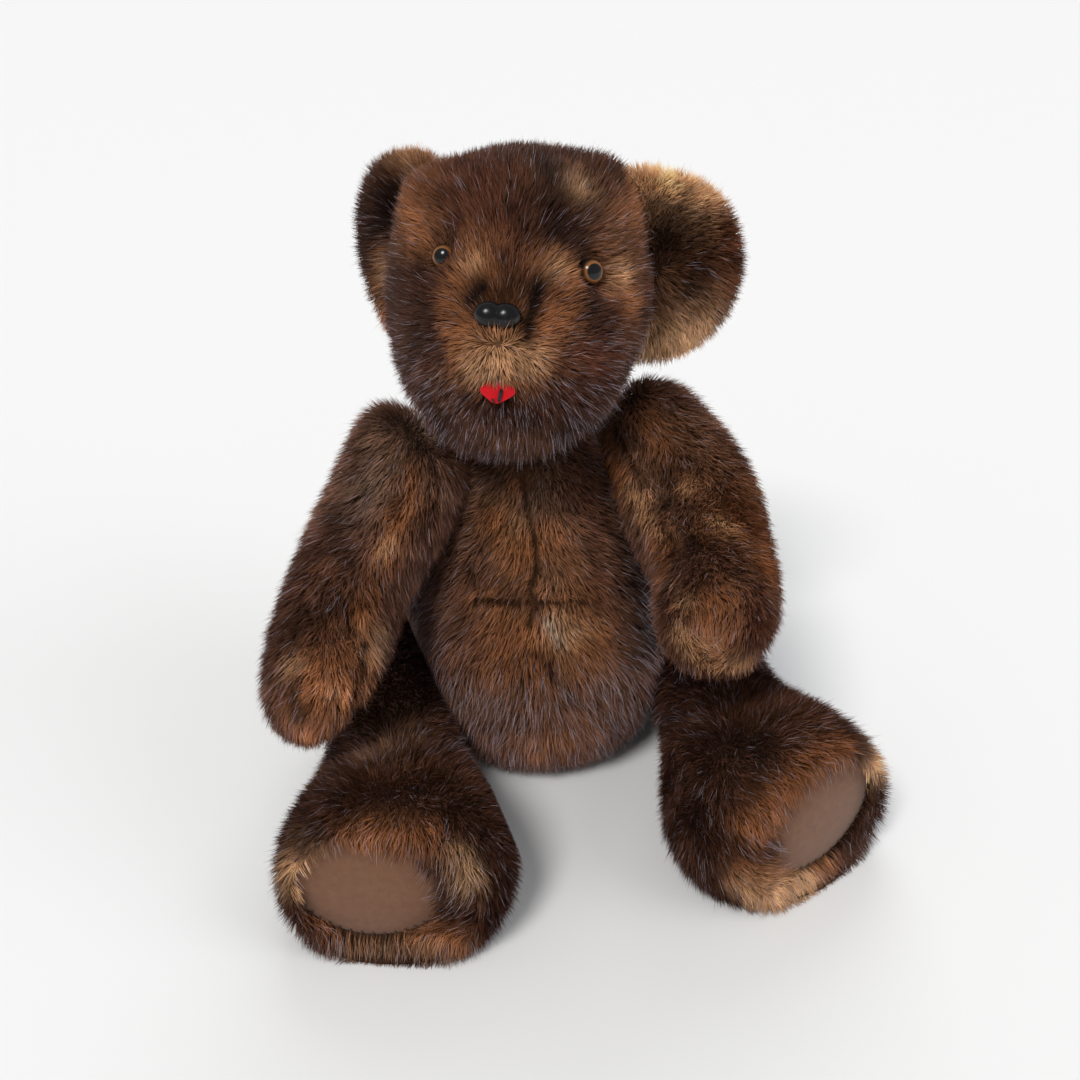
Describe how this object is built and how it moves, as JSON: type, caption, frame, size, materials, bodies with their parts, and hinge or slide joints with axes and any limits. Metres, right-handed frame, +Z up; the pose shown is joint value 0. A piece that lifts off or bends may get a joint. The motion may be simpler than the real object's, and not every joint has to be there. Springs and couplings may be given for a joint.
{
  "type": "jointed fur teddy bear",
  "caption": "Seated disc-jointed teddy bear in dark brown fur, with large round ears, amber eyes, a small red felt mouth and suede foot pads.",
  "frame": {"origin": "middle of the torso's flat seat, on the surface the bear sits on", "axes": "+Z up, -Y the way the torso faces, +X the bear's own left side"},
  "size_m": [0.2743, 0.2305, 0.3005],
  "materials": {
    "mink": "dense glossy fur",
    "suede": "napped suede",
    "felt": "felt",
    "stuffing": "fibre filling",
    "hardboard": "pressed board",
    "steel": "plain",
    "amber_eye": "polished",
    "nose_plastic": "polished",
    "washer_plastic": "moulded"
  },
  "bodies": {
    "torso": {"torso_pelt": "mink", "torso_stuffing": "stuffing", "neck_disc_torso": "hardboard", "neck_washer_torso": "steel", "shoulder_left_disc_torso": "hardboard", "shoulder_left_washer_torso": "steel", "shoulder_right_disc_torso": "hardboard", "shoulder_right_washer_torso": "steel", "hip_left_disc_torso": "hardboard", "hip_left_washer_torso": "steel", "hip_right_disc_torso": "hardboard", "hip_right_washer_torso": "steel"},
    "head": {"head_pelt": "mink", "head_stuffing": "stuffing", "ear_left": "mink", "ear_right": "mink", "eye_left": "amber_eye", "eye_right": "amber_eye", "eye_lock_left": "washer_plastic", "eye_lock_right": "washer_plastic", "nose": "nose_plastic", "nose_lock": "washer_plastic", "mouth_felt": "felt", "neck_disc_limb": "hardboard", "neck_washer_limb": "steel", "neck_pin": "steel"},
    "arm_left": {"arm_left_pelt": "mink", "arm_left_stuffing": "stuffing", "shoulder_left_disc_limb": "hardboard", "shoulder_left_washer_limb": "steel", "shoulder_left_pin": "steel"},
    "leg_left": {"leg_left_pelt": "mink", "leg_left_stuffing": "stuffing", "foot_pad_left": "suede", "hip_left_disc_limb": "hardboard", "hip_left_washer_limb": "steel", "hip_left_pin": "steel"},
    "arm_right": {"arm_right_pelt": "mink", "arm_right_stuffing": "stuffing", "shoulder_right_disc_limb": "hardboard", "shoulder_right_washer_limb": "steel", "shoulder_right_pin": "steel"},
    "leg_right": {"leg_right_pelt": "mink", "leg_right_stuffing": "stuffing", "foot_pad_right": "suede", "hip_right_disc_limb": "hardboard", "hip_right_washer_limb": "steel", "hip_right_pin": "steel"}
  },
  "joints": [
    {"name": "neck", "type": "hinge", "parent": "torso", "child": "head", "pos_m": [-0.003, 0, 0.19], "axis": [0, 0, 1], "range_deg": [-60, 60]},
    {"name": "shoulder_left", "type": "hinge", "parent": "torso", "child": "arm_left", "pos_m": [0.03623, -0.011, 0.1565], "axis": [-0.8937, 0.2904, -0.342], "range_deg": [-15, 35]},
    {"name": "shoulder_right", "type": "hinge", "parent": "torso", "child": "arm_right", "pos_m": [-0.04118, -0.011, 0.1565], "axis": [-0.8937, -0.2904, 0.342], "range_deg": [-30, 20]},
    {"name": "hip_left", "type": "hinge", "parent": "torso", "child": "leg_left", "pos_m": [0.05786, 0.006, 0.046], "axis": [-0.9609, 0.135, 0.2419], "range_deg": [-90, 0]},
    {"name": "hip_right", "type": "hinge", "parent": "torso", "child": "leg_right", "pos_m": [-0.05931, 0.006, 0.046], "axis": [-0.9609, -0.135, -0.2419], "range_deg": [-90, 0]}
  ]
}
